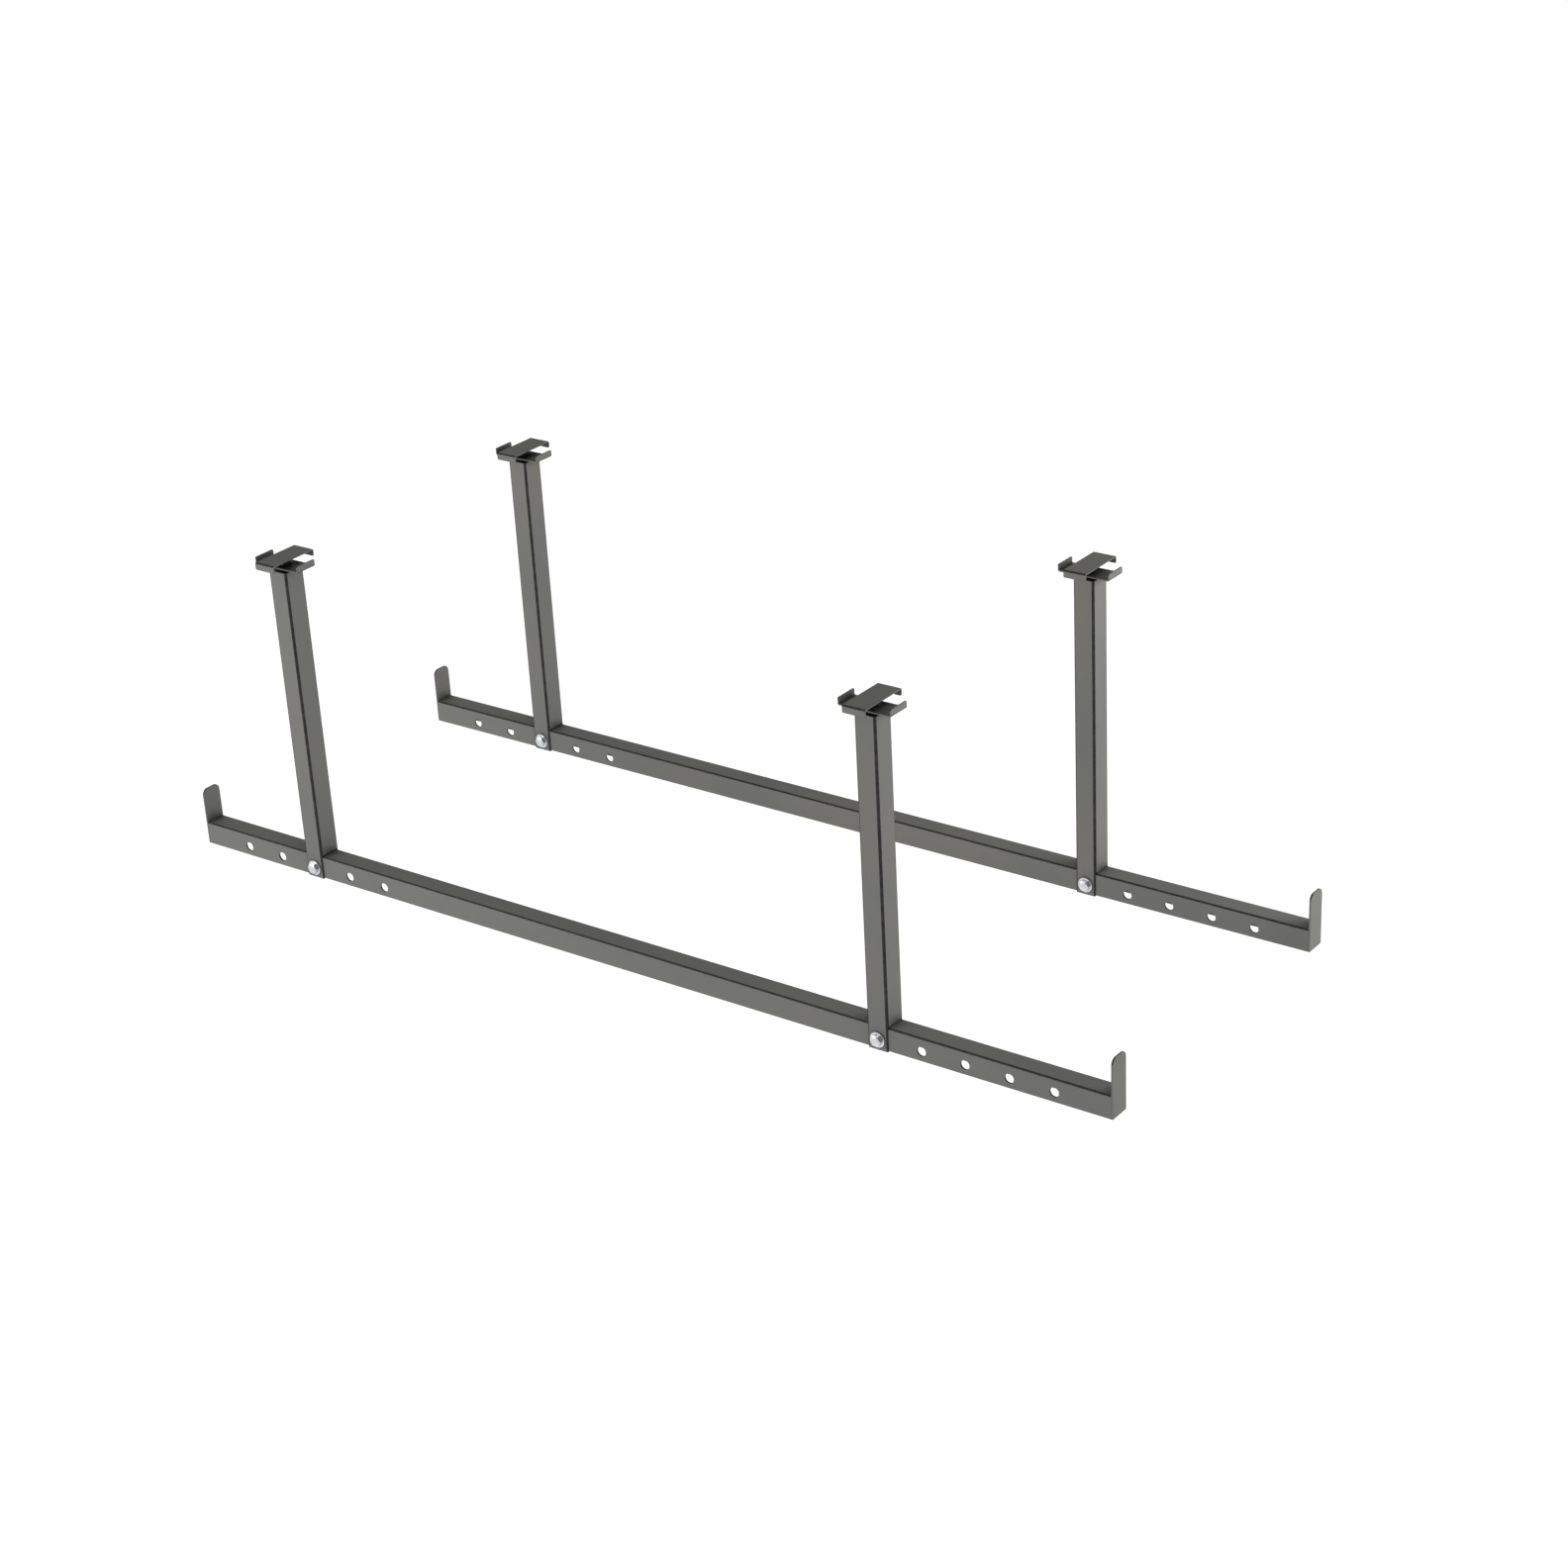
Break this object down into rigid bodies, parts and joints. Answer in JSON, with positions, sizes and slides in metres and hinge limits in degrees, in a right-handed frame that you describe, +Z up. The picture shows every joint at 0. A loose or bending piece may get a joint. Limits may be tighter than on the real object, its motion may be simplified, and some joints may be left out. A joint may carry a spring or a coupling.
{
  "type": "overhead rack hanging bar set",
  "caption": "Hanging bars for an overhead wire deck: each bar has end stops, a row of holes at both ends and posts with crossed hook clamps on top.",
  "frame": {"origin": "midway along the bars and midway between the two units, in the plane where the upper hooks bear on the deck wires", "axes": "+X along the bars to the right-hand end, +Y from the front unit to the back unit, +Z up"},
  "size_m": [1.2192, 0.4646, 0.3829],
  "materials": {
    "frame_coat": "satin powder coat, dark warm grey, slightly hammered",
    "zinc": "bright zinc plate",
    "nylon": "natural nylon"
  },
  "bodies": {
    "front_unit": {"front_bar": "frame_coat", "front_left_end_stop": "frame_coat", "front_right_end_stop": "frame_coat", "front_left_post": "frame_coat", "front_left_post_cap": "frame_coat", "front_left_collar": "frame_coat", "front_left_lower_hook": "frame_coat", "front_left_bar_bolt": "zinc", "front_left_front_washer": "zinc", "front_right_post": "frame_coat", "front_right_post_cap": "frame_coat", "front_right_collar": "frame_coat", "front_right_lower_hook": "frame_coat", "front_right_bar_bolt": "zinc", "front_right_front_washer": "zinc"},
    "back_unit": {"back_bar": "frame_coat", "back_left_end_stop": "frame_coat", "back_right_end_stop": "frame_coat", "back_left_post": "frame_coat", "back_left_post_cap": "frame_coat", "back_left_collar": "frame_coat", "back_left_lower_hook": "frame_coat", "back_left_bar_bolt": "zinc", "back_left_front_washer": "zinc", "back_right_post": "frame_coat", "back_right_post_cap": "frame_coat", "back_right_collar": "frame_coat", "back_right_lower_hook": "frame_coat", "back_right_bar_bolt": "zinc", "back_right_front_washer": "zinc"},
    "front_left_screw": {"front_left_clamp_screw": "zinc"},
    "front_left_hook": {"front_left_upper_hook": "frame_coat", "front_left_hook_nut": "frame_coat"},
    "front_left_washer": {"front_left_back_washer": "zinc"},
    "front_left_nut": {"front_left_lock_nut": "zinc", "front_left_nut_insert": "nylon"},
    "front_right_screw": {"front_right_clamp_screw": "zinc"},
    "front_right_hook": {"front_right_upper_hook": "frame_coat", "front_right_hook_nut": "frame_coat"},
    "front_right_washer": {"front_right_back_washer": "zinc"},
    "front_right_nut": {"front_right_lock_nut": "zinc", "front_right_nut_insert": "nylon"},
    "back_left_screw": {"back_left_clamp_screw": "zinc"},
    "back_left_hook": {"back_left_upper_hook": "frame_coat", "back_left_hook_nut": "frame_coat"},
    "back_left_washer": {"back_left_back_washer": "zinc"},
    "back_left_nut": {"back_left_lock_nut": "zinc", "back_left_nut_insert": "nylon"},
    "back_right_screw": {"back_right_clamp_screw": "zinc"},
    "back_right_hook": {"back_right_upper_hook": "frame_coat", "back_right_hook_nut": "frame_coat"},
    "back_right_washer": {"back_right_back_washer": "zinc"},
    "back_right_nut": {"back_right_lock_nut": "zinc", "back_right_nut_insert": "nylon"}
  },
  "joints": [
    {"name": "back_unit_spacing", "type": "slide", "parent": "front_unit", "child": "back_unit", "axis": [0, 1, 0], "range_m": [-0.3, 0.3]},
    {"name": "front_left_screw_turn", "type": "hinge", "parent": "front_unit", "child": "front_left_screw", "pos_m": [-0.4391, -0.201, -0.0129], "axis": [0, 0, -1], "range_deg": [0, 1440]},
    {"name": "front_left_hook_lift", "type": "slide", "parent": "front_unit", "child": "front_left_hook", "axis": [0, 0, 1], "range_m": [0, 0.005]},
    {"name": "front_left_washer_travel", "type": "slide", "parent": "front_unit", "child": "front_left_washer", "axis": [0, 1, 0], "range_m": [0, 0.00508]},
    {"name": "front_left_nut_turn", "type": "hinge", "parent": "front_left_washer", "child": "front_left_nut", "pos_m": [-0.4391, -0.181, -0.3694], "axis": [0, -1, 0], "range_deg": [0, 1440]},
    {"name": "front_right_screw_turn", "type": "hinge", "parent": "front_unit", "child": "front_right_screw", "pos_m": [0.3351, -0.201, -0.0129], "axis": [0, 0, -1], "range_deg": [0, 1440]},
    {"name": "front_right_hook_lift", "type": "slide", "parent": "front_unit", "child": "front_right_hook", "axis": [0, 0, 1], "range_m": [0, 0.005]},
    {"name": "front_right_washer_travel", "type": "slide", "parent": "front_unit", "child": "front_right_washer", "axis": [0, 1, 0], "range_m": [0, 0.00508]},
    {"name": "front_right_nut_turn", "type": "hinge", "parent": "front_right_washer", "child": "front_right_nut", "pos_m": [0.3351, -0.181, -0.3694], "axis": [0, -1, 0], "range_deg": [0, 1440]},
    {"name": "back_left_screw_turn", "type": "hinge", "parent": "back_unit", "child": "back_left_screw", "pos_m": [-0.4391, 0.201, -0.0129], "axis": [0, 0, -1], "range_deg": [0, 1440]},
    {"name": "back_left_hook_lift", "type": "slide", "parent": "back_unit", "child": "back_left_hook", "axis": [0, 0, 1], "range_m": [0, 0.005]},
    {"name": "back_left_washer_travel", "type": "slide", "parent": "back_unit", "child": "back_left_washer", "axis": [0, 1, 0], "range_m": [0, 0.00508]},
    {"name": "back_left_nut_turn", "type": "hinge", "parent": "back_left_washer", "child": "back_left_nut", "pos_m": [-0.4391, 0.221, -0.3694], "axis": [0, -1, 0], "range_deg": [0, 1440]},
    {"name": "back_right_screw_turn", "type": "hinge", "parent": "back_unit", "child": "back_right_screw", "pos_m": [0.3351, 0.201, -0.0129], "axis": [0, 0, -1], "range_deg": [0, 1440]},
    {"name": "back_right_hook_lift", "type": "slide", "parent": "back_unit", "child": "back_right_hook", "axis": [0, 0, 1], "range_m": [0, 0.005]},
    {"name": "back_right_washer_travel", "type": "slide", "parent": "back_unit", "child": "back_right_washer", "axis": [0, 1, 0], "range_m": [0, 0.00508]},
    {"name": "back_right_nut_turn", "type": "hinge", "parent": "back_right_washer", "child": "back_right_nut", "pos_m": [0.3351, 0.221, -0.3694], "axis": [0, -1, 0], "range_deg": [0, 1440]}
  ],
  "couplings": [
    {"joint": "front_left_screw_turn", "follows": "front_left_hook_lift", "rad_per_m": 5026.5},
    {"joint": "front_left_nut_turn", "follows": "front_left_washer_travel", "rad_per_m": 4947.4},
    {"joint": "front_right_screw_turn", "follows": "front_right_hook_lift", "rad_per_m": 5026.5},
    {"joint": "front_right_nut_turn", "follows": "front_right_washer_travel", "rad_per_m": 4947.4},
    {"joint": "back_left_screw_turn", "follows": "back_left_hook_lift", "rad_per_m": 5026.5},
    {"joint": "back_left_nut_turn", "follows": "back_left_washer_travel", "rad_per_m": 4947.4},
    {"joint": "back_right_screw_turn", "follows": "back_right_hook_lift", "rad_per_m": 5026.5},
    {"joint": "back_right_nut_turn", "follows": "back_right_washer_travel", "rad_per_m": 4947.4}
  ]
}
